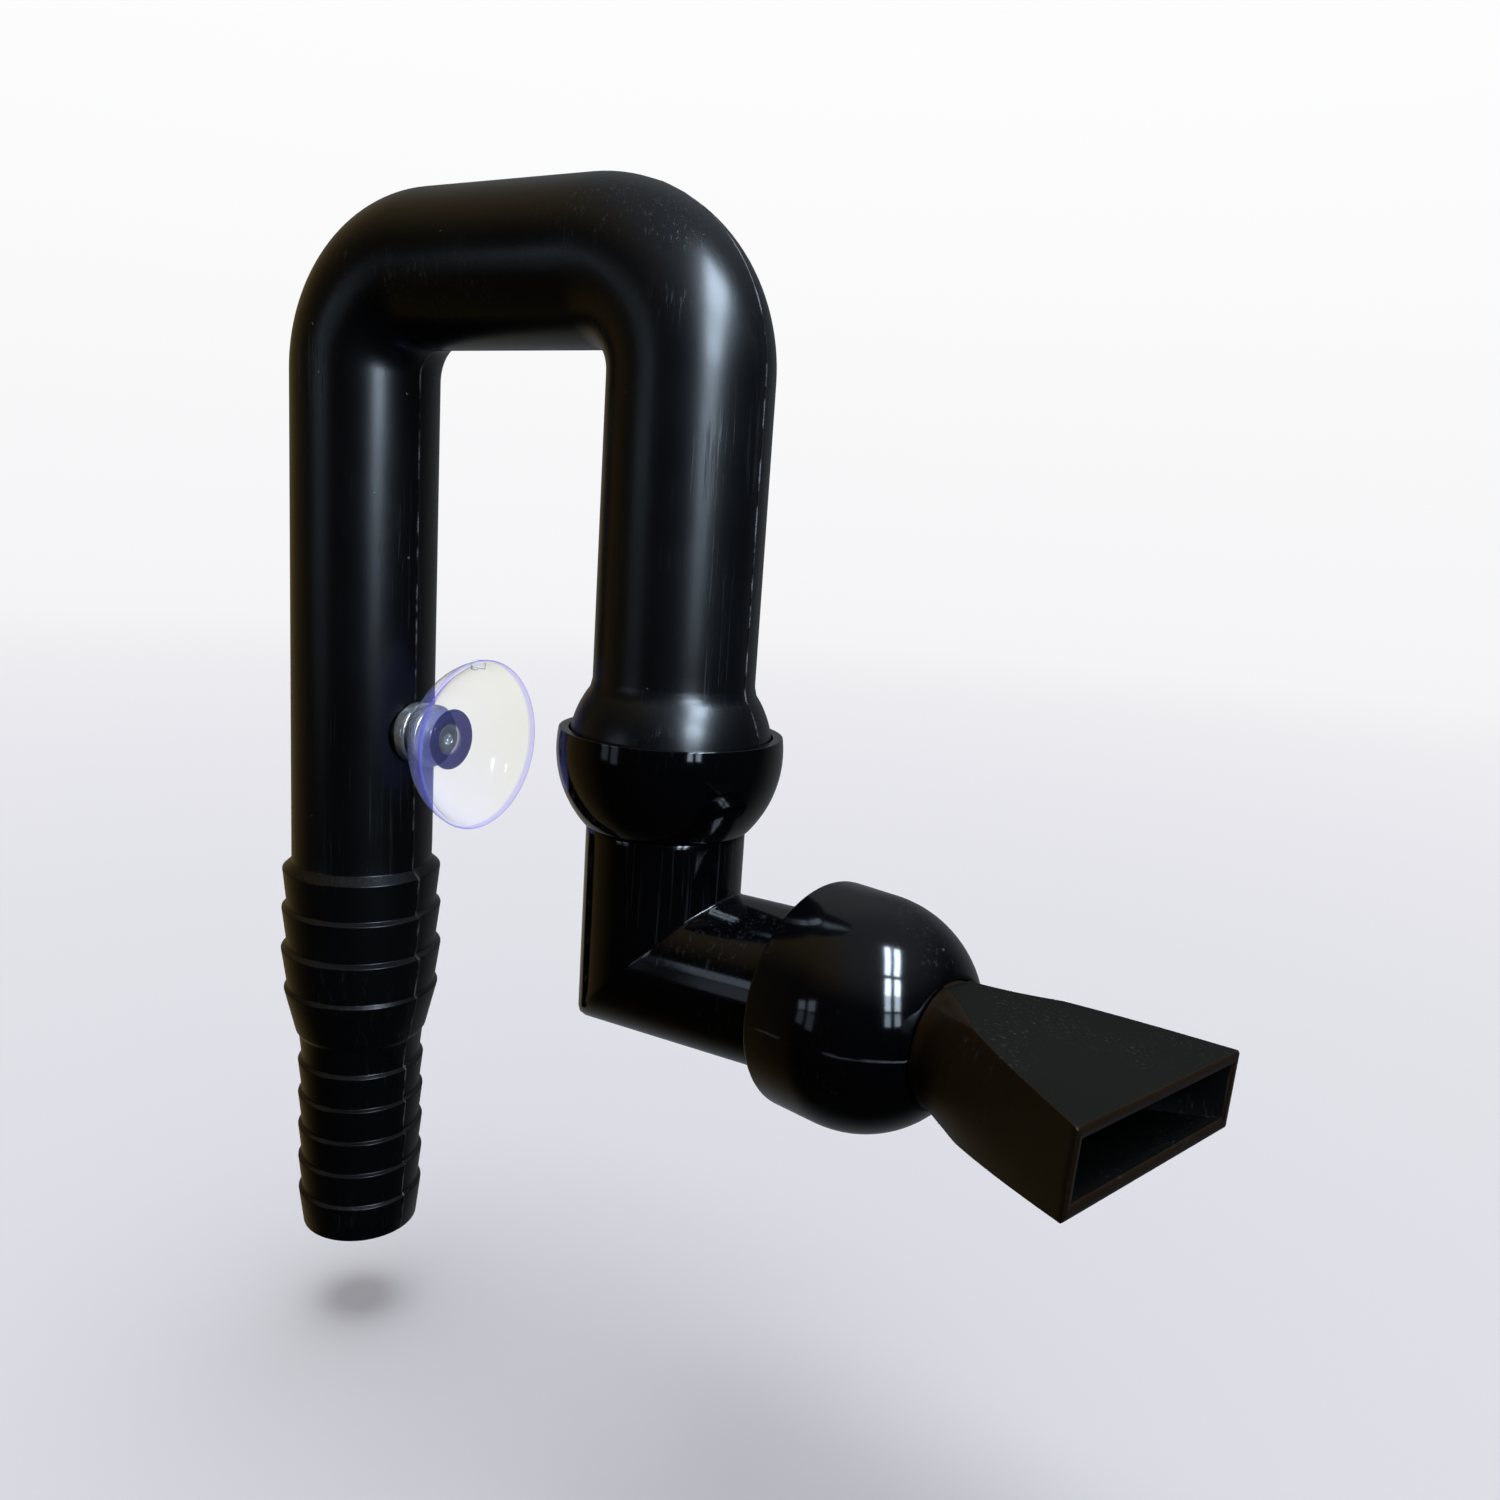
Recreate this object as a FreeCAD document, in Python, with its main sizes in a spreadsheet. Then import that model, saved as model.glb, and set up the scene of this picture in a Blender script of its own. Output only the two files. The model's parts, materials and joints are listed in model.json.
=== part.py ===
import FreeCAD, Part
import math
import os
import Sketcher

# Over-the-rim return pipe with a stepped hose barb, a suction-cup stay and a two-joint fan nozzle.
# Frame: origin at the centre of the hose inlet end, +Z up the inlet leg, +X towards the outlet leg.
os.makedirs("parts", exist_ok=True)
doc = FreeCAD.newDocument("ReturnPipe")
V = FreeCAD.Vector

# ---------------------------------------------------------------- driving dimensions, mm and degrees
VALUES = {
    "TubeR": 12.0,           # outside radius of the round tube
    "BoreR": 9.6,            # water way radius in the tube
    "BarbBoreR": 8.4,        # water way radius in the hose barb
    "BarZ": 168.2,           # centreline height of the top bar
    "LegPitch": 63.3,        # inlet leg axis to outlet leg axis
    "BendR": 16.0,           # centreline radius of the two top bends
    "BallR": 15.2,           # both joint balls
    "BallDrop": 69.3,        # top bar centreline down to the first ball centre
    "BallTail": 3.6,         # how far a ball runs on past its centre
    "CornerDrop": 32.4,      # first ball centre down to the elbow corner
    "ArmLength": 34.5,       # elbow corner to the second ball centre
    "SocketR": 16.9,         # outside radius of both socket cups
    "CavityR": 15.5,         # spherical seat in both cups
    "CupFloor": 9.0,         # ball centre to the cup floor
    "CupBase": 11.4,         # ball centre to the flat outer base of a cup
    "LipR": 15.05,           # snap lip radius
    "RimHigh": 2.9,          # rim height past the ball centre, upper cup
    "SkirtLong": 7.6,        # skirt length past the ball centre, nozzle cup
    "SpigotR": 10.9,         # spigot that turns in a cup's base hole
    "CupHoleR": 11.0,
    "BeadR": 11.5,           # snap bead on the spigot
    "SpigotBoreR": 8.9,
    "BeadFar": 7.95,         # ball centre to the bead's far face
    "BeadNear": 8.85,
    "NozzleYaw": -13.6,      # stored aim of the nozzle about +Z
    "NozzleRoll": -5.3,      # stored roll of the fan about its own axis
    "NozzleLong": 44.3,      # second ball centre to the outlet plane
    "OutWide": 45.2,
    "OutHigh": 10.7,
    "FanWall": 1.7,
    "NoseBase": 14.1,        # nozzle cup: ball centre to the flat base
    "NoseFloor": 12.3,       # nozzle cup: ball centre to the floor ledge
    "NoseHoleR": 8.7,
    "NeckR": 8.6,            # nozzle spigot that turns in the nozzle cup
    "NeckBeadR": 9.1,
    "NeckBoreR": 7.0,
    "FanRoundR": 9.0,        # round start of the fan, just outside the cup
    "FanStart": 15.5,        # second ball centre to the end of that round part
    "FanTall": 20.0,         # height the side walls aim for before the flats cut them
    "FlatStart": 8.3,        # half height of the two flats at the round start
    "LargeValleyR": 12.85,   # between the teeth for the larger hose
    "SmallValleyR": 10.4,    # between the teeth for the smaller hose
    "ToothDrop": 0.55,       # height over which a tooth edge drops to the valley
    "BarbTop": 69.6,         # top of the uppermost tooth step
    "StayZ": 94.0,           # height of the suction-cup axis
    "NutSeat": 12.2,         # seat of the lock nut, from the inlet leg axis
    "NutThick": 2.7,
    "WasherThick": 2.0,
    "DiscR": 5.3,            # lock nut and flange washer
    "InsertR": 2.6,
    "ScrewR": 2.0,
    "ScrewHeadR": 2.6,
    "HeadSeat": 18.0,        # underside of the screw head
    "HeadTop": 19.6,
    "DishFront": 26.6,       # rim plane of the suction cup
    "CollarR": 5.3,          # suction-cup collar against the washer
    "DomeX": 29.25,          # centre of the cup's outer curve
    "DomeY": 2.9,
    "DomeR": 11.5,
    "HollowX": 32.1,         # centre of the cup's inner curve
    "HollowY": 2.8,
    "HollowR": 12.05,
}
sheet = doc.addObject("Spreadsheet::Sheet", "Dims")
for row, (name, value) in enumerate(VALUES.items(), start=1):
    sheet.set("A%d" % row, name)
    sheet.set("B%d" % row, str(value))
    sheet.setAlias("B%d" % row, name)
doc.recompute()


class Dim:
    """A number together with the spreadsheet expression that gives it."""

    def __init__(self, value, text):
        self.value, self.text = float(value), text

    @staticmethod
    def of(thing):
        return thing if isinstance(thing, Dim) else Dim(thing, "%.6g" % thing)

    def join(self, other, sign):
        other = Dim.of(other)
        value = {"+": self.value + other.value, "-": self.value - other.value,
                 "*": self.value * other.value}[sign]
        return Dim(value, "(%s %s %s)" % (self.text, sign, other.text))

    def __add__(self, other):
        return self.join(other, "+")

    def __sub__(self, other):
        return self.join(other, "-")

    def __mul__(self, other):
        return self.join(other, "*")

    def __neg__(self):
        return Dim(-self.value, "(-1 * %s)" % self.text)

    def leg(self, other):
        """Other side of a right triangle with this hypotenuse."""
        other = Dim.of(other)
        return Dim(math.sqrt(self.value ** 2 - other.value ** 2),
                   "sqrt((%s) ^ 2 - (%s) ^ 2)" % (self.text, other.text))


D = {name: Dim(value, "Dims." + name) for name, value in VALUES.items()}
PAST = Dim.of(1.0)       # how far a cutting tool runs past what it cuts
CLEAR = Dim.of(0.15)     # running gap between a cup's base and the piece that turns in it
GAP = Dim.of(0.05)       # gap between stacked or threaded pieces
CORE_R = 8.0             # inner edge of a turned outline that the water way then removes
NECK_CORE = 6.0
MOUTH_R = Dim.of(12.0)   # flared water way at the open end of a ball
SEAT_TOP = Dim.of(1.0)   # the spherical seat runs this far past the ball centre
ORIGIN = (Dim.of(0), Dim.of(0), Dim.of(0))


def new_body(label):
    body = doc.addObject("PartDesign::Body", label)
    body.Label = label
    return body


def new_sketch(body, plane, offset=ORIGIN, label="Profile"):
    """Sketch on one of the body's own planes; offset is in the sketch's own axes."""
    sketch = body.newObject("Sketcher::SketchObject", body.Name + label)
    for feature in body.Origin.OriginFeatures:
        if feature.Role == plane:
            sketch.AttachmentSupport = [(feature, "")]
    sketch.MapMode = "FlatFace"
    sketch.AttachmentOffset = FreeCAD.Placement(V(*[q.value for q in offset]), FreeCAD.Rotation())
    for axis, q in zip("xyz", offset):
        if "Dims" in q.text:
            sketch.setExpression("AttachmentOffset.Base." + axis, q.text)
    return sketch


def pin_point(sketch, index, position, point, axes="XY"):
    for axis, q in zip("XY", point):
        if axis not in axes:
            continue
        n = sketch.addConstraint(Sketcher.Constraint("Distance" + axis, -1, 1, index, position, q.value))
        if "Dims" in q.text:
            sketch.setExpression("Constraints[%d]" % n, q.text)


def draw(sketch, points, closed=True):
    """Chain of lines; a point may be (x, y, centre, side), an arc that arrives there about centre."""
    pts = [tuple(Dim.of(q) for q in p[:2]) + tuple(p[2:]) for p in points]
    count = len(pts) if closed else len(pts) - 1
    first = sketch.GeometryCount
    for i in range(count):
        start, end = pts[i], pts[(i + 1) % len(pts)]
        a, b = V(start[0].value, start[1].value, 0), V(end[0].value, end[1].value, 0)
        if len(end) > 2:
            centre = tuple(Dim.of(q) for q in end[2])
            c = V(centre[0].value, centre[1].value, 0)
            t0, t1 = math.atan2(a.y - c.y, a.x - c.x), math.atan2(b.y - c.y, b.x - c.x)
            turn = 1 if end[3] == "left" else -1
            if turn < 0:
                t0, t1 = t1, t0
            if t1 < t0:
                t1 += 2 * math.pi
            circle = Part.Circle(c, V(0, 0, 1), (a - c).Length)
            n = sketch.addGeometry(Part.ArcOfCircle(circle, t0, t1), False)
            head, tail = (1, 2) if turn > 0 else (2, 1)
            pin_point(sketch, n, 3, centre)
            pin_point(sketch, n, head, start)
            pin_point(sketch, n, tail, end, end[4] if len(end) > 4 else "Y")
        else:
            n = sketch.addGeometry(Part.LineSegment(a, b), False)
            pin_point(sketch, n, 1, start)
            pin_point(sketch, n, 2, end)
    return first


def draw_circle(sketch, centre, radius):
    n = sketch.addGeometry(Part.Circle(V(Dim.of(centre[0]).value, Dim.of(centre[1]).value, 0),
                                       V(0, 0, 1), radius.value), False)
    pin_point(sketch, n, 3, tuple(Dim.of(q) for q in centre))
    k = sketch.addConstraint(Sketcher.Constraint("Radius", n, radius.value))
    sketch.setExpression("Constraints[%d]" % k, radius.text)


def revolve(body, sketch, axis, cut=False):
    kind = "PartDesign::Groove" if cut else "PartDesign::Revolution"
    feature = body.newObject(kind, sketch.Name + "Turn")
    feature.Profile = sketch
    feature.ReferenceAxis = (sketch, [axis])
    feature.Angle = 360.0
    return feature


def along(body, section, path, cut=False, sharp=False):
    kind = "PartDesign::SubtractivePipe" if cut else "PartDesign::AdditivePipe"
    feature = body.newObject(kind, section.Name + "Sweep")
    feature.Profile = section
    feature.Spine = path
    if sharp:
        feature.Transition = "Right corner"
    return feature


# ---------------------------------------------------------------- the inverted U pipe
ball_z = D["BarZ"] - D["BallDrop"]
tube_in_ball = D["BallR"].leg(D["TubeR"])
pipe = new_body("u_pipe")

# hose barb, from the open end up: (tooth edge radius, height)
SMALL_TEETH = [(11.02, 6.7), (11.0, 13.1), (11.12, 19.4), (11.1, 25.7), (11.14, 32.0)]
STEP_TAPER = [(10.9, 37.3), (11.4, 38.1)]
LARGE_TEETH = [(13.42, 46.1), (13.86, 53.6), (13.72, 61.1), (13.54, 68.2)]
barb_end_r = 10.2
barb_join = 74.0     # where the barb solid ends inside the plain tube
barb = [(D["BarbBoreR"], 0), (barb_end_r, 0)]
for edge, height in SMALL_TEETH:
    barb += [(edge, height), (D["SmallValleyR"], D["ToothDrop"] + height)]
barb += STEP_TAPER
for edge, height in LARGE_TEETH:
    barb += [(edge, height), (D["LargeValleyR"], D["ToothDrop"] + height)]
barb = barb[:-1] + [(D["TubeR"], D["BarbTop"]), (D["TubeR"], barb_join), (D["BarbBoreR"], barb_join)]
barb_sketch = new_sketch(pipe, "XZ_Plane", label="Barb")
draw(barb_sketch, barb)
revolve(pipe, barb_sketch, "V_Axis")


def u_path(label, start, end):
    """Centreline of the U from a height on the inlet leg to a height on the outlet leg."""
    path = new_sketch(pipe, "XZ_Plane", label=label)
    bend_z, far_x = D["BarZ"] - D["BendR"], D["LegPitch"] - D["BendR"]
    draw(path, [(0, start), (0, bend_z),
                (D["BendR"], D["BarZ"], (D["BendR"], bend_z), "right", "X"),
                (far_x, D["BarZ"]),
                (D["LegPitch"], bend_z, (far_x, bend_z), "right", "Y"),
                (D["LegPitch"], end)], closed=False)
    return path


tube_start = Dim.of(72.0)      # inside the barb solid, so the two fuse
tube_section = new_sketch(pipe, "XY_Plane", (Dim.of(0), Dim.of(0), tube_start), "TubeRound")
draw_circle(tube_section, (0, 0), D["TubeR"])
along(pipe, tube_section, u_path("TubePath", tube_start, ball_z + 5.0))

# first ball: the tube flares into it and it is cut short below its centre
ball_at = (D["LegPitch"], ball_z, Dim.of(0))
ball_sketch = new_sketch(pipe, "XZ_Plane", ball_at, "Ball")
end_r = D["BallR"].leg(D["BallTail"])
draw(ball_sketch, [(CORE_R, -D["BallTail"]), (end_r, -D["BallTail"]),
                   (D["TubeR"], tube_in_ball, (0, 0), "left", "X"),
                   (CORE_R, tube_in_ball)])
revolve(pipe, ball_sketch, "V_Axis")

bore_start = Dim.of(38.0)
bore_section = new_sketch(pipe, "XY_Plane", (Dim.of(0), Dim.of(0), bore_start), "BoreRound")
draw_circle(bore_section, (0, 0), D["BoreR"])
along(pipe, bore_section, u_path("BorePath", bore_start, ball_z - D["BallTail"] - PAST * 2), cut=True)
inlet = new_sketch(pipe, "XZ_Plane", label="Inlet")
draw(inlet, [(0, -PAST), (D["BarbBoreR"], -PAST), (D["BarbBoreR"], 36.0), (D["BoreR"], 39.0), (0, 39.0)])
revolve(pipe, inlet, "V_Axis", cut=True)
mouth = new_sketch(pipe, "XZ_Plane", ball_at, "Mouth")
draw(mouth, [(0, -D["BallTail"] - PAST), (MOUTH_R + PAST, -D["BallTail"] - PAST), (MOUTH_R, -D["BallTail"]),
             (D["BoreR"], 0), (0, 0)])
revolve(pipe, mouth, "V_Axis", cut=True)

# seat and inner boss for the suction-cup screw, then the blind hole for its threaded insert
stay = (Dim.of(0), D["StayZ"], Dim.of(0))
boss_end = 5.6
boss = new_sketch(pipe, "XZ_Plane", stay, "Boss")
draw(boss, [(boss_end, 0), (boss_end, 4.3), (D["NutSeat"], 5.2), (D["NutSeat"], 0)])
revolve(pipe, boss, "H_Axis")
blind_end = boss_end + 1.2
blind = new_sketch(pipe, "XZ_Plane", stay, "Blind")
draw(blind, [(blind_end, 0), (blind_end, D["InsertR"]), (D["NutSeat"] + PAST, D["InsertR"]),
             (D["NutSeat"] + PAST, 0)])
revolve(pipe, blind, "H_Axis", cut=True)

# ---------------------------------------------------------------- suction cup and its fixings
washer_seat = D["NutSeat"] + D["NutThick"]
cup_seat = washer_seat + D["WasherThick"] + GAP
thread_r = D["ScrewR"] + GAP
step_x = washer_seat - 0.6     # the nut has a smaller face towards the washer
STACK = {   # label: half profile (distance from the inlet leg axis, radius)
    "thread_insert": [(7.0, D["ScrewR"]), (7.0, D["InsertR"]), (12.0, D["InsertR"]), (12.0, D["ScrewR"])],
    "lock_nut": [(D["NutSeat"], thread_r), (D["NutSeat"], D["DiscR"] - 0.4), (D["NutSeat"] + 0.3, D["DiscR"]),
                 (step_x - 0.3, D["DiscR"]), (step_x, D["DiscR"] - 0.3), (step_x, D["DiscR"] - 1.3),
                 (washer_seat, D["DiscR"] - 1.3), (washer_seat, thread_r)],
    "flange_washer": [(washer_seat, thread_r), (washer_seat, D["DiscR"] - 0.3),
                      (washer_seat + 0.3, D["DiscR"]), (cup_seat - GAP - 0.4, D["DiscR"]),
                      (cup_seat - GAP, D["DiscR"] - 0.4), (cup_seat - GAP, thread_r)],
    "cup_screw": [(7.4, 0), (7.4, D["ScrewR"] - 0.4), (7.8, D["ScrewR"]), (D["HeadSeat"], D["ScrewR"]),
                  (D["HeadSeat"], D["ScrewHeadR"]), (D["HeadTop"] - 0.3, D["ScrewHeadR"]),
                  (D["HeadTop"], D["ScrewHeadR"] - 0.4), (D["HeadTop"], 0)],
}
for label, profile in STACK.items():
    body = new_body(label)
    sketch = new_sketch(body, "XZ_Plane", stay)
    draw(sketch, profile)
    revolve(body, sketch, "H_Axis")

cup = new_body("suction_cup")
cup_sketch = new_sketch(cup, "XZ_Plane", stay)
dome = (D["DomeX"], D["DomeY"])
hollow = (D["HollowX"], D["HollowY"])
dome_foot = D["DomeX"] - D["DomeR"].leg(D["CollarR"] - D["DomeY"])
dome_rim = D["DomeY"] + D["DomeR"].leg(D["DomeX"] - D["DishFront"])
hollow_rim = D["HollowY"] + D["HollowR"].leg(D["HollowX"] - D["DishFront"])
well_r = D["CollarR"]          # flat ring round the screw, inside the cup
well_x = D["HollowX"] - D["HollowR"].leg(well_r - D["HollowY"])
recess = D["HeadSeat"] - GAP * 1.6
draw(cup_sketch, [(cup_seat, thread_r), (cup_seat, D["CollarR"] - 0.5), (cup_seat + 0.5, D["CollarR"]),
                  (dome_foot, D["CollarR"]), (D["DishFront"], dome_rim, dome, "right", "X"),
                  (D["DishFront"], hollow_rim), (well_x, well_r, hollow, "left", "Y"),
                  (well_x, D["ScrewHeadR"] + GAP), (recess, D["ScrewHeadR"] + GAP), (recess, thread_r)])
revolve(cup, cup_sketch, "H_Axis")
# small nub inside the top of the rim, to peel the cup off
tab_front, tab_thick, tab_half, tab_tall = D["DishFront"] - 0.2, 1.8, 0.9, 1.2
tab = new_sketch(cup, "XY_Plane", (Dim.of(0), Dim.of(0), D["StayZ"] + hollow_rim - 0.9), "Tab")
draw(tab, [(tab_front - tab_thick, -tab_half), (tab_front, -tab_half), (tab_front, tab_half),
           (tab_front - tab_thick, tab_half)])
tab_pad = cup.newObject("PartDesign::Pad", "suction_cupTabPad")
tab_pad.Profile = tab
tab_pad.Length = tab_tall


# ---------------------------------------------------------------- the two socket cups
def socket_profile(base, floor, hole, rim):
    """Half profile (radius, height past the ball centre), with the closed end at negative height."""
    base_r = D["SocketR"].leg(base)
    floor_r = D["CavityR"].leg(floor)
    seat_r = D["CavityR"].leg(SEAT_TOP)
    outside = [(hole, -base), (base_r, -base)]
    inside = [(seat_r, SEAT_TOP), (floor_r, -floor, (0, 0), "right", "Y"), (hole, -floor)]
    return outside + rim + inside


upper = new_body("upper_socket")
upper_sketch = new_sketch(upper, "XZ_Plane")
rim_z = D["RimHigh"]
rim_r = D["SocketR"].leg(rim_z - 0.8)
draw(upper_sketch, socket_profile(D["CupBase"], D["CupFloor"], D["CupHoleR"], [
    (rim_r, rim_z - 0.8, (0, 0), "left", "Y"), (rim_r - 0.25, rim_z - 0.2), (rim_r - 0.7, rim_z),
    (D["LipR"] + 0.3, rim_z), (D["LipR"], rim_z - 0.4)]))
revolve(upper, upper_sketch, "V_Axis")

nose = new_body("nozzle_socket")
nose_sketch = new_sketch(nose, "XZ_Plane")
skirt_z, skirt_r = D["SkirtLong"], D["SocketR"]
draw(nose_sketch, socket_profile(D["NoseBase"], D["NoseFloor"], D["NoseHoleR"], [
    (skirt_r, 0, (0, 0), "left", "Y"), (skirt_r, skirt_z - 1.1), (skirt_r - 0.35, skirt_z - 0.25),
    (skirt_r - 0.8, skirt_z), (D["CavityR"] + 0.25, skirt_z), (D["CavityR"] + 0.1, skirt_z - 0.3),
    (D["LipR"], D["RimHigh"])]))
revolve(nose, nose_sketch, "V_Axis")

# ---------------------------------------------------------------- mitred elbow with spigot and ball
elbow = new_body("elbow")
shoulder = D["CornerDrop"] - D["CupBase"] - CLEAR
arm_end = D["ArmLength"] - tube_in_ball + 0.5
bead_near, bead_far = D["CornerDrop"] - D["BeadNear"], D["CornerDrop"] - D["BeadFar"]


def elbow_path(label, top, end):
    path = new_sketch(elbow, "XZ_Plane", label=label)
    draw(path, [(0, top), (0, 0), (end, 0)], closed=False)
    return path


arm_round = new_sketch(elbow, "XY_Plane", (Dim.of(0), Dim.of(0), shoulder), "ArmRound")
draw_circle(arm_round, (0, 0), D["TubeR"])
along(elbow, arm_round, elbow_path("ArmPath", shoulder, arm_end), sharp=True)
spigot = new_sketch(elbow, "XZ_Plane", label="Spigot")
draw(spigot, [(CORE_R, shoulder - 2.0), (D["SpigotR"], shoulder - 2.0), (D["SpigotR"], bead_near),
              (D["BeadR"], bead_near + 0.1), (D["BeadR"] - 0.3, bead_far), (CORE_R, bead_far)])
revolve(elbow, spigot, "V_Axis")
arm_ball = new_sketch(elbow, "XZ_Plane", (D["ArmLength"], Dim.of(0), Dim.of(0)), "ArmBall")
draw(arm_ball, [(-tube_in_ball, CORE_R), (-tube_in_ball, D["TubeR"]),
                (D["BallTail"], end_r, (0, 0), "right", "X"), (D["BallTail"], CORE_R)])
revolve(elbow, arm_ball, "H_Axis")
way_top, way_end = bead_far + PAST * 2, D["ArmLength"] + D["BallTail"] + PAST * 2
way = new_sketch(elbow, "XY_Plane", (Dim.of(0), Dim.of(0), way_top), "Way")
draw_circle(way, (0, 0), D["SpigotBoreR"])
along(elbow, way, elbow_path("WayPath", way_top, way_end), cut=True, sharp=True)
arm_mouth = new_sketch(elbow, "XZ_Plane", (D["ArmLength"], Dim.of(0), Dim.of(0)), "ArmMouth")
draw(arm_mouth, [(0, 0), (0, D["SpigotBoreR"]), (D["BallTail"], MOUTH_R),
                 (D["BallTail"] + PAST, MOUTH_R + PAST), (D["BallTail"] + PAST, 0)])
revolve(elbow, arm_mouth, "H_Axis", cut=True)
corner = new_sketch(elbow, "XZ_Plane", label="Corner")
low, corner_r = -D["TubeR"], 2.0
eye = low + corner_r
draw(corner, [(low - PAST, low - PAST), (eye, low - PAST), (eye, low),
              (low, eye, (eye, eye), "right", "Y"), (low - PAST, eye)])
corner_cut = elbow.newObject("PartDesign::Pocket", "elbowCornerCut")
corner_cut.Profile = corner
corner_cut.Type = "ThroughAll"
corner_cut.Midplane = True

# ---------------------------------------------------------------- fan nozzle: round neck to flat outlet
fan = new_body("fan_nozzle")
neck_x = D["NoseBase"] + CLEAR
neck_bead = D["NoseFloor"] - 0.1


def ring(label, at, radius):
    """Circle in four arcs that meet on the diagonals."""
    sketch = new_sketch(fan, "YZ_Plane", (Dim.of(0), Dim.of(0), at), label)
    q = radius * math.sqrt(0.5)
    draw(sketch, [(q, -q), (q, q, (0, 0), "left", "Y"), (-q, q, (0, 0), "left", "X"),
                  (-q, -q, (0, 0), "left", "Y")], closed=False)
    n = sketch.addGeometry(Part.ArcOfCircle(Part.Circle(V(0, 0, 0), V(0, 0, 1), radius.value),
                                            1.25 * math.pi, 1.75 * math.pi), False)
    pin_point(sketch, n, 3, (Dim.of(0), Dim.of(0)))
    pin_point(sketch, n, 1, (-q, -q))
    pin_point(sketch, n, 2, (q, -q), "X")
    return sketch


def slab(label, at, wide, high):
    sketch = new_sketch(fan, "YZ_Plane", (Dim.of(0), Dim.of(0), at), label)
    y, z = wide * 0.5, high * 0.5
    draw(sketch, [(y, -z), (y, z), (-y, z), (-y, -z)])
    return sketch


def loft(sections, cut=False):
    kind = "PartDesign::SubtractiveLoft" if cut else "PartDesign::AdditiveLoft"
    feature = fan.newObject(kind, sections[0].Name + "Loft")
    feature.Profile = sections[0]
    feature.Sections = sections[1:]
    feature.Ruled = True
    return feature


neck = new_sketch(fan, "XZ_Plane", label="Neck")
draw(neck, [(neck_bead - 0.9, NECK_CORE), (neck_bead - 0.9, D["NeckBeadR"] - 0.3),
            (neck_bead - 0.1, D["NeckBeadR"]), (neck_bead, D["NeckR"]), (neck_x, D["NeckR"]),
            (neck_x, D["FanRoundR"]), (D["FanStart"], D["FanRoundR"]), (D["FanStart"], NECK_CORE)])
revolve(fan, neck, "H_Axis")
loft([ring("FanRound", D["FanStart"], D["FanRoundR"]),
      slab("FanSlab", D["NozzleLong"], D["OutWide"], D["FanTall"])])
flat_end, flat_high = D["NozzleLong"] + PAST, Dim.of(14.0)
flat_lead = 0.13     # the flats run on at the same slope to the end of the neck
for side, label in ((1, "TopCut"), (-1, "UnderCut")):
    cut_sketch = new_sketch(fan, "XZ_Plane", label=label)
    draw(cut_sketch, [(D["FanStart"], D["FlatStart"] * side), (D["NozzleLong"], D["OutHigh"] * (0.5 * side)),
                      (flat_end, D["OutHigh"] * (0.5 * side)), (flat_end, flat_high * side),
                      (neck_x, flat_high * side), (neck_x, (D["FlatStart"] + flat_lead) * side)])
    flat = fan.newObject("PartDesign::Pocket", "fan_nozzle" + label + "Flat")
    flat.Profile = cut_sketch
    flat.Type = "ThroughAll"
    flat.Midplane = True
wall = D["FanWall"]
throat = new_sketch(fan, "XZ_Plane", label="Throat")
draw(throat, [(neck_bead - 2.0, 0), (neck_bead - 2.0, D["NeckBoreR"]), (D["FanStart"], D["NeckBoreR"]),
              (D["FanStart"], 0)])
revolve(fan, throat, "H_Axis", cut=True)
loft([ring("WayRound", D["FanStart"], D["NeckBoreR"]),
      slab("WaySlab", D["NozzleLong"] + 0.3, D["OutWide"] - wall * 2, D["OutHigh"] - wall * 2)], cut=True)

# ---------------------------------------------------------------- placements
doc.recompute()
corner_z = ball_z - D["CornerDrop"]
PLACES = {
    "upper_socket": (D["LegPitch"], ball_z, (0, 0, 0)),
    "elbow": (D["LegPitch"], corner_z, (0, 0, 0)),
    "nozzle_socket": (D["LegPitch"] + D["ArmLength"], corner_z, None),
    "fan_nozzle": (D["LegPitch"] + D["ArmLength"], corner_z, None),
}
yaw = FreeCAD.Rotation(V(0, 0, 1), VALUES["NozzleYaw"])
roll = FreeCAD.Rotation(V(1, 0, 0), VALUES["NozzleRoll"])
# the cup is drawn with its open rim up +Z; the rim faces back along the arm
TURNS = {"upper_socket": FreeCAD.Rotation(), "elbow": FreeCAD.Rotation(),
         "nozzle_socket": yaw.multiply(FreeCAD.Rotation(V(0, 1, 0), -90.0)),
         "fan_nozzle": yaw.multiply(roll)}
for label, (x, z, turn) in PLACES.items():
    body = doc.getObject(label)
    body.Placement = FreeCAD.Placement(V(x.value, 0, z.value), TURNS[label])
    body.setExpression("Placement.Base.x", x.text)
    body.setExpression("Placement.Base.z", z.text)
doc.recompute()

# ---------------------------------------------------------------- checks and export
NODES = ["u_pipe", "thread_insert", "lock_nut", "flange_washer", "cup_screw", "suction_cup",
         "upper_socket", "elbow", "nozzle_socket", "fan_nozzle"]
for item in doc.Objects:
    bad = [state for state in item.State if state in ("Invalid", "Error")]
    if bad:
        raise RuntimeError("%s is %s" % (item.Label, bad))
for label in NODES:
    shape = doc.getObject(label).Shape
    if not shape.isValid() or len(shape.Solids) != 1:
        raise RuntimeError("%s: valid %s, solids %d" % (label, shape.isValid(), len(shape.Solids)))
    box = shape.BoundBox
    print("%-14s volume %9.1f mm3  x %.2f..%.2f  y %.2f..%.2f  z %.2f..%.2f" % (
        label, shape.Volume, box.XMin, box.XMax, box.YMin, box.YMax, box.ZMin, box.ZMax))
    shape.exportStep("parts/%s.step" % label)
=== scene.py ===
import json
import math

import bmesh
import bpy
import numpy as np
from mathutils import Matrix, Vector, noise


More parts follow.
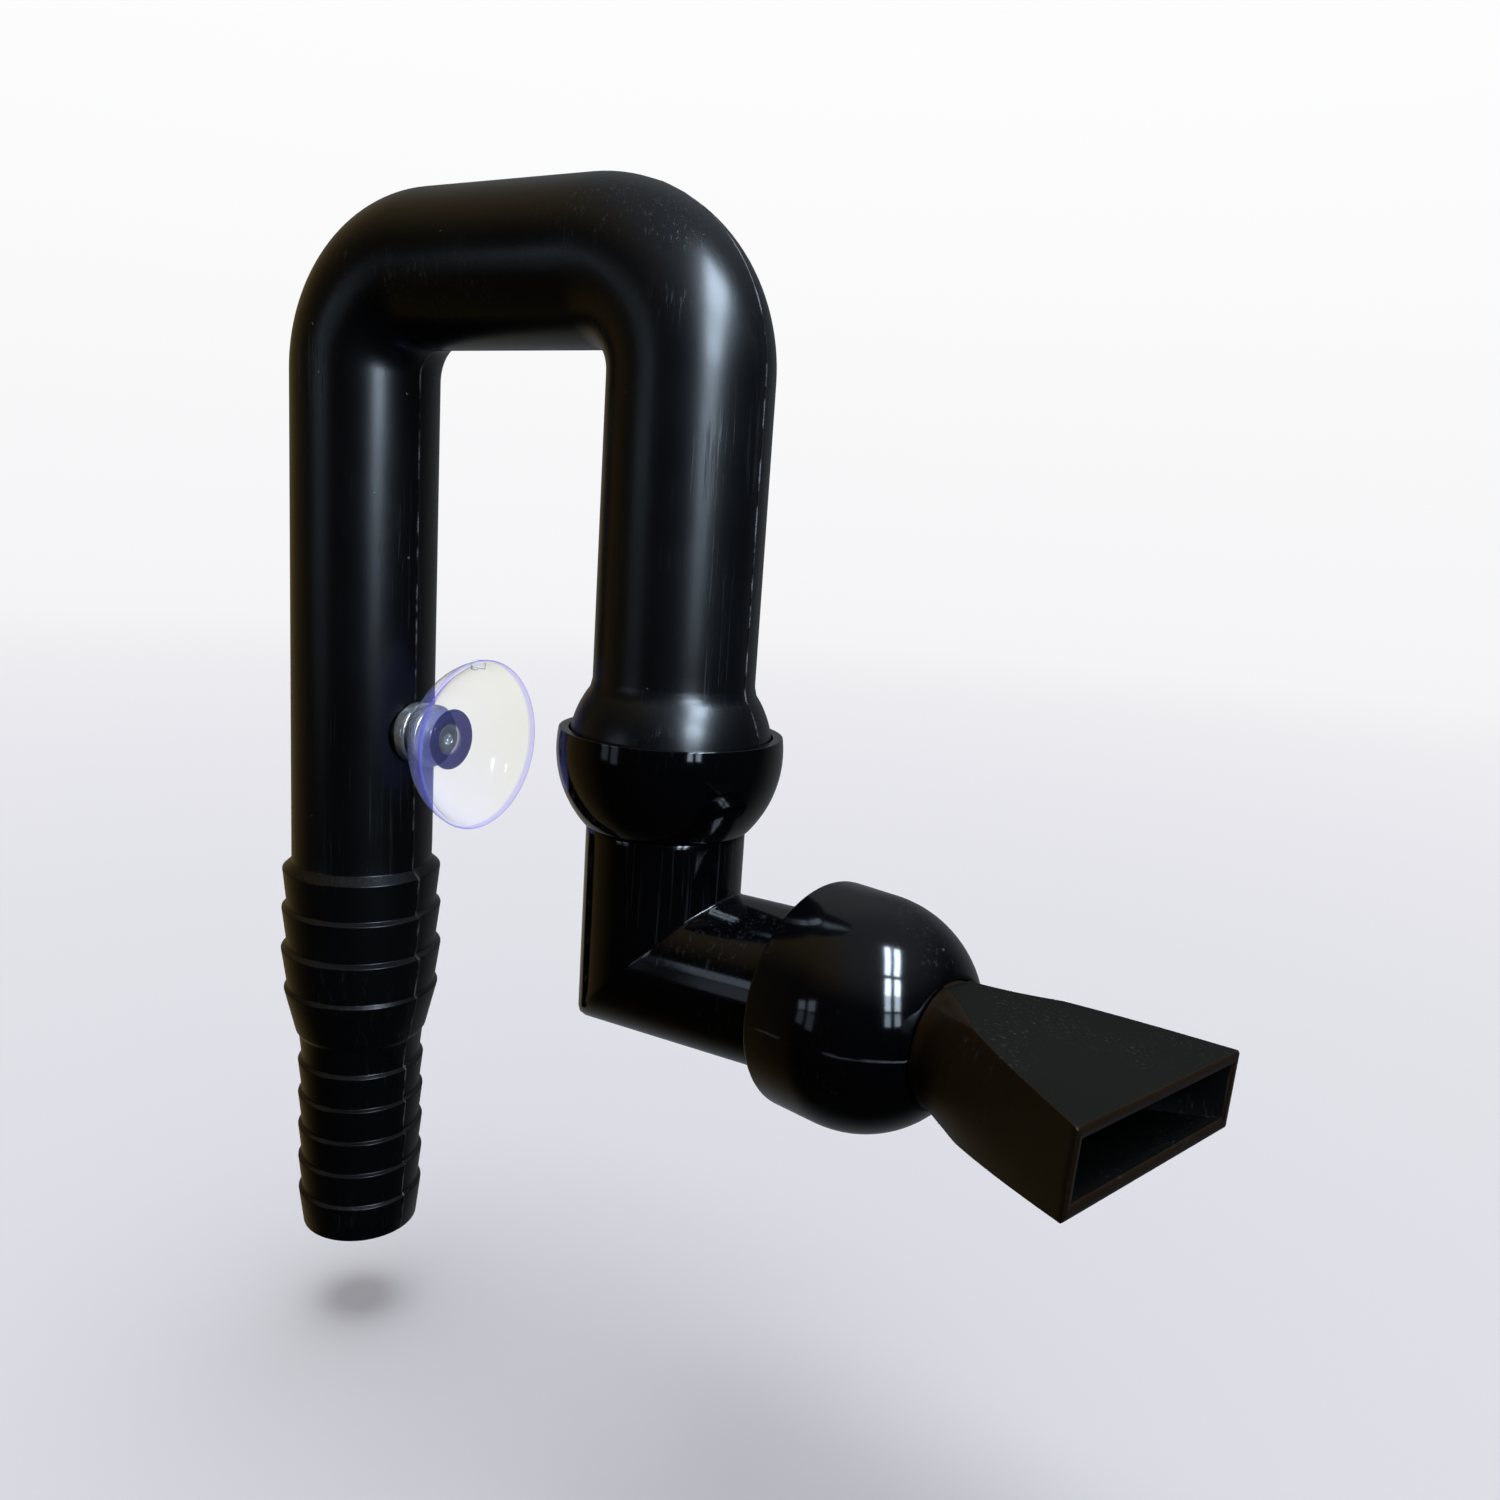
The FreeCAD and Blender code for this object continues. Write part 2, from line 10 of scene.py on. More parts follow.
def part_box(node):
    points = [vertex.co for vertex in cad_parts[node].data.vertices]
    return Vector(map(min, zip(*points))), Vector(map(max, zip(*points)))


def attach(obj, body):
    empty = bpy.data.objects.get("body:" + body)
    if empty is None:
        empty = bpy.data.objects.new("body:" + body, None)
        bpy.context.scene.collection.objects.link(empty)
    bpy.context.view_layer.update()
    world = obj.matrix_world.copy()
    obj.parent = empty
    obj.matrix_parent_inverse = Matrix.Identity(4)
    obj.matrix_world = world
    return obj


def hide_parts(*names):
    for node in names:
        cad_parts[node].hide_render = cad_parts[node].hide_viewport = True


# Over-the-rim aquarium return pipe: metres, origin at the hose inlet, +Z up, +X from inlet leg to outlet leg.
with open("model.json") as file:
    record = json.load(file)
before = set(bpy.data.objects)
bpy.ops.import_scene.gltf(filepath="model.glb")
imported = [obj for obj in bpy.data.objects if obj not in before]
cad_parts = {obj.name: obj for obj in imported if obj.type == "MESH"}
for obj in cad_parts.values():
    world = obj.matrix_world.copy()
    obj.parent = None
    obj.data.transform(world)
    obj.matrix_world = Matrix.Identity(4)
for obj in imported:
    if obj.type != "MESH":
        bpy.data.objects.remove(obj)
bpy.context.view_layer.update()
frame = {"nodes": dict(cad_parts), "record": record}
JOINTS = {joint["name"]: joint for joint in frame["record"]["behaviour"]["joints"]}

# ---------------------------------------------------------------- sizes, metres, from the frame where it has them
MM = 0.001
TUBE = 12.0 * MM
BORE = 9.6 * MM
BARB_BORE = 8.4 * MM
BEND = 16.0 * MM
BALL = 15.2 * MM
BALL_TAIL = 3.6 * MM
SOCKET = 16.9 * MM
CAVITY = 15.5 * MM
CUP_FLOOR = 9.0 * MM
CUP_BASE = 11.4 * MM
RIM_HIGH = 2.9 * MM
SKIRT = 7.6 * MM
LIP = 15.05 * MM
HOLE = 11.0 * MM
SPIGOT = 10.9 * MM
SPIGOT_BORE = 8.9 * MM
BEAD = 11.5 * MM
OUT_WIDE = 45.2 * MM
OUT_HIGH = 10.7 * MM
WALL = 1.7 * MM
NOZZLE_LONG = 44.3 * MM
FAN_TALL = 20.0 * MM
FAN_START = 15.5 * MM
FAN_ROUND = 9.0 * MM
FLAT_START = 8.3 * MM
NOSE_BASE = 14.1 * MM
NOSE_FLOOR = 12.3 * MM
NOSE_HOLE = 8.7 * MM
NECK = 8.6 * MM
NECK_BEAD = 9.1 * MM
NECK_BORE = 7.0 * MM
BAND = 0.28 * MM             # the two halves of the barb's mould stand this far out of line
FLASH = 0.11 * MM            # height of the flash line on the pipe
FAN_ROLL = -5.3             # degrees the fan is rolled about its own axis in the stored pose
DOME_X, DOME_R_AT, DOME = 29.25, 2.9, 11.5       # suction cup outside: arc centre and radius, mm
HOLLOW_X, HOLLOW_R_AT, HOLLOW = 32.1, 2.8, 12.05  # suction cup inside: arc centre and radius, mm

ball_1 = Vector(JOINTS["elbow_tilt"]["pos_m"])
ball_2 = Vector(JOINTS["nozzle_tilt"]["pos_m"])
stay = Vector(JOINTS["cup_turn"]["pos_m"])
nozzle_axis = Vector(JOINTS["nozzle_swivel"]["axis"]).normalized()
NOZZLE_ROLL = math.radians(FAN_ROLL)
bar_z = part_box("u_pipe")[1][2] - TUBE
leg_x = ball_1.x
corner = Vector((leg_x, 0, ball_2.z))
X, Y, Z = Vector((1, 0, 0)), Vector((0, 1, 0)), Vector((0, 0, 1))


# ---------------------------------------------------------------- mesh helpers
def ring_angles(seam_at=(), count=120):
    """Angles round a ring, with extra ones close to each seam."""
    fine = [math.radians(d) for d in (-2.2, -1.3, -0.65, 0, 0.65, 1.3, 2.2)]
    angles = [2 * math.pi * i / count for i in range(count)]
    for seam in seam_at:
        apart = [a for a in angles if abs(math.remainder(a - seam, 2 * math.pi)) > math.radians(3.0)]
        angles = apart + [seam + f for f in fine]
    return sorted(a % (2 * math.pi) for a in angles)


def ridge(angle, seams, half=math.radians(1.0)):
    """0..1 height of the flash line at this angle."""
    near = min((abs(math.remainder(angle - seam, 2 * math.pi)) for seam in seams), default=9.0)
    return max(0.0, 1.0 - near / half)


def rounded(points, size=0.2 * MM, steps=4):
    """Outline with its sharp corners replaced by small curves; a third value sets a corner's own size."""
    out, count = [], len(points)
    for i, point in enumerate(points):
        here = Vector(point[:2])
        before = Vector(points[i - 1][:2])
        after = Vector(points[(i + 1) % count][:2])
        a, b = before - here, after - here
        if a.length < 1e-7 or b.length < 1e-7 or math.pi - a.angle(b) < math.radians(20):
            out.append(tuple(here))
            continue
        cut = min(point[2] if len(point) > 2 else size, 0.45 * a.length, 0.45 * b.length)
        p, q = here + a.normalized() * cut, here + b.normalized() * cut
        for k in range(steps + 1):
            t = k / steps
            out.append(tuple(p * (1 - t) ** 2 + here * (2 * t * (1 - t)) + q * t ** 2))
    return out


def arc(centre, radius, start, end, steps=14):
    """Points (h, r) on an arc about (centre, 0), angles in degrees from the +h axis."""
    span = [math.radians(start + (end - start) * k / steps) for k in range(steps + 1)]
    return [(centre + radius * math.cos(a), radius * math.sin(a)) for a in span]


def finish_mesh(name, verts, faces, body, nodes, seam=None):
    mesh = bpy.data.meshes.new(name)
    mesh.from_pydata([tuple(v) for v in verts], [], faces)
    if seam is not None:
        mesh.attributes.new("seam", "FLOAT", "POINT").data.foreach_set("value", seam)
    bm = bmesh.new()
    bm.from_mesh(mesh)
    bmesh.ops.remove_doubles(bm, verts=bm.verts, dist=1e-7)
    bmesh.ops.dissolve_degenerate(bm, edges=bm.edges, dist=1e-8)
    bmesh.ops.recalc_face_normals(bm, faces=bm.faces)
    if bm.calc_volume(signed=True) < 0:
        bmesh.ops.reverse_faces(bm, faces=bm.faces)
    for face in bm.faces:
        face.smooth = True
    bm.to_mesh(mesh)
    bm.free()
    piece = bpy.data.objects.new(name, mesh)
    bpy.context.scene.collection.objects.link(piece)
    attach(piece, body)
    if nodes:
        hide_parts(*nodes)
    return piece


def skin(rings, closed=True):
    """Vertices and quads through rings of equal length."""
    n = len(rings[0])
    verts = [v for ring in rings for v in ring]
    faces = []
    last = len(rings) if closed else len(rings) - 1
    for i in range(last):
        a, b = i * n, ((i + 1) % len(rings)) * n
        faces += [(a + k, a + (k + 1) % n, b + (k + 1) % n, b + k) for k in range(n)]
    return verts, faces


def lathe(name, outline, origin, axis, side, body, nodes, seams=(), flash=0.0, count=120):
    """Closed solid of revolution; outline is (height along axis, radius)."""
    axis = axis.normalized()
    side = (side - axis * side.dot(axis)).normalized()
    other = axis.cross(side)
    angles = ring_angles(seams, count)
    rings, seam = [], []
    for h, r in outline:
        ring = []
        for a in angles:
            lift = ridge(a, seams)
            out = max(r, 0.0) + (flash * lift if r > SPIGOT else 0.0)
            ring.append(origin + axis * h + (side * math.cos(a) + other * math.sin(a)) * out)
            seam.append(lift)
        rings.append(ring)
    verts, faces = skin(rings)
    return finish_mesh(name, verts, faces, body, nodes, seam)


# ---------------------------------------------------------------- materials
class Shader:
    """Short way to add nodes and links to a new material."""

    def __init__(self, name):
        self.material = bpy.data.materials.new(name)
        self.material.use_nodes = True
        self.tree = self.material.node_tree
        self.tree.nodes.clear()
        self.out = self.tree.nodes.new("ShaderNodeOutputMaterial")

    def add(self, kind, inputs=None, **settings):
        node = self.tree.nodes.new("ShaderNode" + kind)
        for key, value in settings.items():
            setattr(node, key, value)
        for key, value in (inputs or {}).items():
            if isinstance(value, bpy.types.NodeSocket):
                self.tree.links.new(value, node.inputs[key])
            else:
                node.inputs[key].default_value = value
        return node

    def place(self, scale=(1, 1, 1)):
        coords = self.add("TexCoord").outputs["Object"]
        return self.add("Mapping", {"Vector": coords, "Scale": scale}).outputs["Vector"]

    def grain(self, scale, stretch=(1, 1, 1), detail=3.0, rough=0.5):
        return self.add("TexNoise", {"Vector": self.place(stretch), "Scale": scale, "Detail": detail,
                                     "Roughness": rough}).outputs["Fac"]

    def ramp(self, fac, low, high, start=0.0, end=1.0):
        return self.add("MapRange", {"Value": fac, "From Min": low, "From Max": high, "To Min": start,
                                     "To Max": end}).outputs["Result"]

    def sums(self, operation, a, b):
        node = self.add("Math", operation=operation)
        for socket, value in zip(node.inputs, (a, b)):
            if isinstance(value, bpy.types.NodeSocket):
                self.tree.links.new(value, socket)
            else:
                socket.default_value = value
        return node.outputs[0]

    def blend(self, fac, a, b):
        node = self.add("Mix", data_type="RGBA")
        for socket, value in ((node.inputs[0], fac), (node.inputs[6], a), (node.inputs[7], b)):
            if isinstance(value, bpy.types.NodeSocket):
                self.tree.links.new(value, socket)
            else:
                socket.default_value = value
        return node.outputs[2]

    def bump(self, height, distance, strength=1.0, under=None):
        inputs = {"Height": height, "Distance": distance, "Strength": strength}
        if under is not None:
            inputs["Normal"] = under
        return self.add("Bump", inputs).outputs["Normal"]

    def finish(self, shader):
        self.tree.links.new(shader, self.out.inputs["Surface"])
        return self.material


def plastic(name, dark, light, rough, rough_spread, wave, grit, scratch, specks=0.6, specular=0.5):
    """Black moulded plastic: soft waviness, fine grain, long handling scratches, dust specks, a paler flash line."""
    s = Shader(name)
    cloud = s.grain(45.0, detail=2.0)
    fine = s.grain(2600.0, detail=2.0)
    lines = s.ramp(s.grain(1500.0, (1.0, 1.0, 0.02), detail=4.0, rough=0.7), 0.57, 0.70)
    patch = s.ramp(s.grain(70.0, detail=1.0), 0.45, 0.62)
    worn = s.sums("MULTIPLY", lines, patch)
    cells = s.add("TexVoronoi", {"Vector": s.place(), "Scale": 210.0, "Randomness": 1.0}, feature="F1")
    dots = s.ramp(cells.outputs["Distance"], 0.035, 0.055, 1.0, 0.0)
    picked = s.ramp(s.grain(160.0, detail=0.0), 0.56, 0.60)
    dust = s.sums("MULTIPLY", s.sums("MULTIPLY", dots, picked), specks)
    seam = s.add("Attribute", attribute_name="seam").outputs["Fac"]
    broken = s.ramp(s.grain(260.0, (0.3, 0.3, 1.0), detail=3.0), 0.47, 0.60)
    flash = s.sums("MULTIPLY", seam, broken)
    colour = s.blend(cloud, dark, light)
    colour = s.blend(s.sums("MULTIPLY", worn, 0.25), colour, (0.05, 0.055, 0.06, 1))
    colour = s.blend(s.sums("MULTIPLY", dust, 0.5), colour, (0.16, 0.16, 0.16, 1))
    colour = s.blend(s.sums("MULTIPLY", flash, 0.8), colour, (0.20, 0.20, 0.21, 1))
    shine = s.ramp(cloud, 0.3, 0.7, rough, rough + rough_spread)
    shine = s.sums("ADD", shine, s.sums("MULTIPLY", worn, 0.10))
    normal = s.bump(cloud, wave * MM, 0.5)
    normal = s.bump(fine, grit * MM, 0.35, normal)
    normal = s.bump(worn, scratch * MM, 0.5, normal)
    normal = s.bump(dust, 0.05 * MM, 0.6, normal)
    surface = s.add("BsdfPrincipled", {"Base Color": colour, "Roughness": shine, "IOR": 1.5, "Normal": normal,
                                       "Specular IOR Level": specular})
    return s.finish(surface.outputs[0])


def plated():
    """Nickel plate with faint turning marks."""
    s = Shader("plated_steel")
    marks = s.grain(3000.0, (0.1, 1.0, 1.0), detail=2.0)
    stain = s.grain(220.0, detail=3.0)
    colour = s.blend(s.ramp(stain, 0.4, 0.7), (0.80, 0.81, 0.83, 1), (0.52, 0.53, 0.57, 1))
    shine = s.ramp(stain, 0.3, 0.7, 0.07, 0.20)
    surface = s.add("BsdfPrincipled", {"Base Color": colour, "Metallic": 0.78, "Roughness": shine,
                                       "Normal": s.bump(marks, 0.01 * MM, 0.4)})
    return s.finish(surface.outputs[0])


def brass():
    s = Shader("brass")
    stain = s.grain(400.0, detail=3.0)
    colour = s.blend(stain, (0.62, 0.45, 0.16, 1), (0.80, 0.62, 0.28, 1))
    surface = s.add("BsdfPrincipled", {"Base Color": colour, "Metallic": 1.0, "Roughness": 0.32,
                                       "Normal": s.bump(stain, 0.02 * MM, 0.3)})
    return s.finish(surface.outputs[0])


def clear_pvc():
    """Soft clear PVC: it lets warm white light through and scatters blue-violet, so it is violet over black."""
    s = Shader("clear_pvc")
    edge = s.add("Attribute", attribute_name="edge").outputs["Fac"]
    navy = s.add("Attribute", attribute_name="navy").outputs["Fac"]
    cloud = s.grain(160.0, detail=2.0)
    normal = s.bump(cloud, 0.15 * MM, 0.25)
    passed = s.blend(edge, (0.994, 0.992, 0.885, 1), (0.72, 0.70, 0.86, 1))
    passed = s.blend(navy, passed, (0.05, 0.05, 0.12, 1))
    thrown = s.blend(s.ramp(cloud, 0.3, 0.7), (0.040, 0.042, 0.118, 1), (0.052, 0.054, 0.138, 1))
    thrown = s.blend(edge, thrown, (0.055, 0.056, 0.230, 1))
    thrown = s.blend(navy, thrown, (0.038, 0.038, 0.085, 1))
    clear = s.add("BsdfTransparent", {"Color": passed})
    front = s.add("BsdfDiffuse", {"Color": thrown, "Normal": normal})
    behind = s.add("BsdfTranslucent", {"Color": thrown, "Normal": normal})
    body = s.add("AddShader", {0: clear.outputs[0], 1: front.outputs[0]})
    body = s.add("AddShader", {0: body.outputs[0], 1: behind.outputs[0]})
    coat = s.add("BsdfGlossy", {"Roughness": 0.09, "Normal": normal})
    facing = s.add("LayerWeight", {"Blend": 0.5, "Normal": normal}).outputs["Facing"]
    shine = s.sums("ADD", 0.02, s.sums("MULTIPLY", s.sums("POWER", facing, 5.0), 0.9))
    surface = s.add("MixShader", {0: shine, 1: body.outputs[0], 2: coat.outputs[0]})
    return s.finish(surface.outputs[0])


SATIN = plastic("pipe_plastic", (0.0010, 0.0011, 0.0015, 1), (0.0020, 0.0021, 0.0026, 1), 0.27, 0.07,
                0.25, 0.012, 0.045, 1.0)
GLOSS = plastic("joint_plastic", (0.0006, 0.0006, 0.0009, 1), (0.0012, 0.0012, 0.0016, 1), 0.07, 0.05,
                0.14, 0.003, 0.006, 0.5)
MATTE = plastic("nozzle_plastic", (0.0030, 0.0031, 0.0021, 1), (0.0044, 0.0046, 0.0032, 1), 0.55, 0.12,
                0.10, 0.030, 0.010, 0.8, 0.08)
# Nozzle sides: the nozzle plastic with a brownish colour, a painted reflection of warm surroundings.
SIDES_PAINTED_SHEEN = plastic("nozzle_sides_painted_sheen", (0.0050, 0.0022, 0.0005, 1), (0.0090, 0.0038, 0.0008, 1), 0.34, 0.10,
                0.20, 0.010, 0.010, 0.4, 0.25)
# Inside the nozzle: a darker copy of the nozzle plastic, painted shade for the throat.
INSIDE_PAINTED_SHADE = plastic("nozzle_inside_painted_shade", (0.0008, 0.0008, 0.0007, 1), (0.0014, 0.0014, 0.0012, 1), 0.55, 0.10,
                 0.10, 0.020, 0.005, 0.1, 0.04)
CHROME = plated()
BRASS = brass()
PVC = clear_pvc()


# ---------------------------------------------------------------- the inverted U pipe
def barb_outline():
    """(height, radius) from the open end up to the plain tube: five small teeth, a step, four large teeth."""
    points = [(0.0, BARB_BORE + 0.25 * MM), (0.0, 10.15 * MM), (6.7 * MM, 11.02 * MM)]
    for k in range(4):
        high = (13.1 + 6.3 * k) * MM
        points += [(high - 6.0 * MM, 10.40 * MM), (high, 11.08 * MM)]
    points += [(32.5 * MM, 10.40 * MM), (37.3 * MM, 10.90 * MM), (38.1 * MM, 11.45 * MM), (46.1 * MM, 13.42 * MM)]
    for low, high, r in ((46.65, 53.6, 13.86), (54.15, 61.1, 13.72), (61.65, 68.2, 13.54)):
        points += [(low * MM, 12.85 * MM), (high * MM, r * MM)]
    return points + [(69.6 * MM, TUBE)]


def u_pipe():
    seams = (0.0, math.pi)
    angles = ring_angles(seams, 132)
    soft = rounded(barb_outline() + [(90 * MM, TUBE), (90 * MM, BARB_BORE)], 0.12 * MM, 3)
    barb = [p for p in soft if p[0] < 80 * MM and p[1] > BARB_BORE + 0.05 * MM]
    bend_z = bar_z - BEND
    stations = [(Vector((0, 0, h)), 0.0, r) for h, r in barb]
    run = np.linspace(73 * MM, bend_z, 22)
    stations += [(Vector((0, 0, h)), 0.0, TUBE) for h in run]
    for k in range(1, 33):
        a = math.pi / 2 * k / 32
        centre = Vector((BEND - BEND * math.cos(a), 0, bend_z + BEND * math.sin(a)))
        stations.append((centre, a, TUBE))
    for x in np.linspace(BEND, leg_x - BEND, 12)[1:]:
        stations.append((Vector((x, 0, bar_z)), math.pi / 2, TUBE))
    for k in range(1, 33):
        a = math.pi / 2 * k / 32
        centre = Vector((leg_x - BEND + BEND * math.sin(a), 0, bend_z + BEND * math.cos(a)))
        stations.append((centre, math.pi / 2 + a, TUBE))
    join = math.sqrt(BALL ** 2 - TUBE ** 2)
    for h in np.linspace(bend_z, ball_1.z + join + 1.2 * MM, 22)[1:]:
        stations.append((Vector((leg_x, 0, h)), math.pi, TUBE))
    flare = [(join + 0.7 * MM, TUBE + 0.04 * MM), (join + 0.25 * MM, TUBE + 0.16 * MM)]
    start = math.degrees(math.asin((join - 0.4 * MM) / BALL))
    stop = -math.degrees(math.asin(BALL_TAIL / BALL))
    for k in range(17):
        a = math.radians(start + (stop - start) * k / 16)
        flare.append((BALL * math.sin(a), BALL * math.cos(a)))
    flare += [(-BALL_TAIL, 12.2 * MM), (0.0, BORE)]
    stations += [(Vector((leg_x, 0, ball_1.z + h)), math.pi, r) for h, r in flare]
    inner = [(Vector((0, 0, 0.25 * MM)), 0.0, BARB_BORE), (Vector((0, 0, 36 * MM)), 0.0, BARB_BORE),
             (Vector((0, 0, 39 * MM)), 0.0, BORE)]
    inner += [(c, a, BORE) for c, a, r in stations if r == TUBE]
    rings, seam = [], []
    for order, (centre, turn, r) in enumerate(stations + inner[::-1]):
        outer = order < len(stations)
        along = Vector((math.sin(turn), 0, math.cos(turn)))
        inward = Vector((math.cos(turn), 0, -math.sin(turn)))
        toothed = outer and turn == 0.0 and centre.z < 72 * MM and centre.z > 1 * MM
        ring = []
        for a in angles:
            lift = ridge(a, seams) if outer else 0.0
            ragged = 0.5 + 0.9 * noise.noise(centre * 900 + Vector((a, 0, 0)))
            out = r + FLASH * lift * max(0.15, ragged)
            point = centre + inward * (out * math.cos(a)) + Y * (out * math.sin(a))
            if toothed and math.sin(a) > 0.02:
                point += along * BAND - inward * 0.06 * MM * math.cos(a) - Y * 0.06 * MM * math.sin(a)
            ring.append(point)
            seam.append(lift)
        rings.append(ring)
    verts, faces = skin(rings)
    piece = finish_mesh("pipe_shell", verts, faces, "pipe", ["u_pipe"], seam)
    piece.data.materials.append(SATIN)
    boss = rounded([(5.6 * MM, 2.6 * MM), (5.6 * MM, 4.3 * MM), (12.15 * MM, 5.25 * MM, 0.3 * MM),
                    (12.15 * MM, 2.6 * MM)])
    seat = lathe("stay_boss", boss, Vector((0, 0, stay.z)), X, Z, "pipe", [], count=64)
    seat.data.materials.append(SATIN)


# ---------------------------------------------------------------- socket cups
def socket_cup(name, origin, axis, side, body, node, shape, seams):
    """Cup with its closed end towards +axis; shape is base, floor, hole radius and rim length past the ball."""
    base, floor, hole, skirt = shape
    base_r = math.sqrt(SOCKET ** 2 - base ** 2)
    low = math.degrees(math.atan2(base_r, base))
    floor_r = math.sqrt(CAVITY ** 2 - floor ** 2)
    points = [(base, hole), (base, base_r, 0.35 * MM)]
    if skirt > 4 * MM:
        points += arc(0, SOCKET, low, 90, 24)[1:]
        points += [(-skirt, SOCKET, 0.9 * MM), (-skirt, 15.7 * MM, 0.4 * MM), (-RIM_HIGH, LIP)]
    else:
        high = 90 + math.degrees(math.asin((skirt - 0.3 * MM) / SOCKET))
        points += arc(0, SOCKET, low, high, 26)[1:]
        points += [(-skirt, SOCKET * 0.985, 0.7 * MM), (-skirt, LIP + 0.1 * MM, 0.3 * MM)]
    seat = arc(0, CAVITY, 93.7, math.degrees(math.atan2(floor_r, floor)), 14)
    points += seat + [(floor, hole)]
    piece = lathe(name, rounded(points, 0.25 * MM, 5), origin, axis, side, body, [node],
                  seams, 0.05 * MM, 144)
    piece.data.materials.append(GLOSS)
    return piece


# ---------------------------------------------------------------- mitred elbow
def elbow():
    """Two arms that meet on a 45 degree plane; the outside of the corner is a little rounder than the inside."""
    angles = ring_angles((), 132)
    top = ball_1.z - corner.z
    reach = ball_2.x - corner.x
    join = math.sqrt(BALL ** 2 - TUBE ** 2)

    def rise(h, r):
        return [corner + Vector((r * math.cos(a), r * math.sin(a), h)) for a in angles]

    def arm(x, r):
        return [corner + Vector((x, r * math.sin(a), r * math.cos(a))) for a in angles]

    def mitre(r, shift, upright):
        """Ring beside the mitre plane, on the upright or the level arm."""
        ring = []
        for a in angles:
            wide = shift * (1.0 + 4.5 * ((1 - math.cos(a)) / 2) ** 6)
            plane = r * math.cos(a)
            if upright:
                ring.append(corner + Vector((plane, r * math.sin(a), plane + wide)))
            else:
                ring.append(corner + Vector((plane + wide, r * math.sin(a), plane)))
        return ring

    def ridge_ring(r, shift):
        """Ring on the mitre itself, drawn in a little towards the bevel."""
        ring = []
        for a in angles:
            wide = shift * (1.0 + 4.5 * ((1 - math.cos(a)) / 2) ** 6)
            plane = r * math.cos(a) + wide * 0.28
            ring.append(corner + Vector((plane, r * math.sin(a), plane)))
        return ring

    shoulder = top - CUP_BASE - 0.15 * MM
    rings = [rise(top - 7.95 * MM, SPIGOT_BORE), rise(top - 7.95 * MM, BEAD - 0.3 * MM),
             rise(top - 8.75 * MM, BEAD), rise(top - 8.85 * MM, SPIGOT), rise(shoulder, SPIGOT),
             rise(shoulder, TUBE - 0.15 * MM), rise(shoulder - 0.15 * MM, TUBE)]
    rings += [rise(h, TUBE) for h in np.linspace(shoulder - 1 * MM, TUBE + 1.5 * MM, 6)]
    rings += [mitre(TUBE, 0.9 * MM, True), mitre(TUBE, 0.35 * MM, True), ridge_ring(TUBE, 0.35 * MM),
              mitre(TUBE, 0.35 * MM, False), mitre(TUBE, 0.9 * MM, False)]
    rings += [arm(x, TUBE) for x in np.linspace(TUBE + 1.5 * MM, reach - join - 0.8 * MM, 6)]
    start = math.degrees(math.asin((join - 0.3 * MM) / BALL))
    stop = -math.degrees(math.asin(BALL_TAIL / BALL))
    for k in range(17):
        a = math.radians(start + (stop - start) * k / 16)
        rings.append(arm(reach - BALL * math.sin(a), BALL * math.cos(a)))
    rings += [arm(reach + BALL_TAIL, 12.0 * MM), arm(reach, SPIGOT_BORE), mitre(SPIGOT_BORE, 0.02 * MM, False),
              mitre(SPIGOT_BORE, 0.02 * MM, True)]
    verts, faces = skin(rings)
    piece = finish_mesh("elbow_shell", verts, faces, "elbow", ["elbow"])
    piece.data.materials.append(GLOSS)


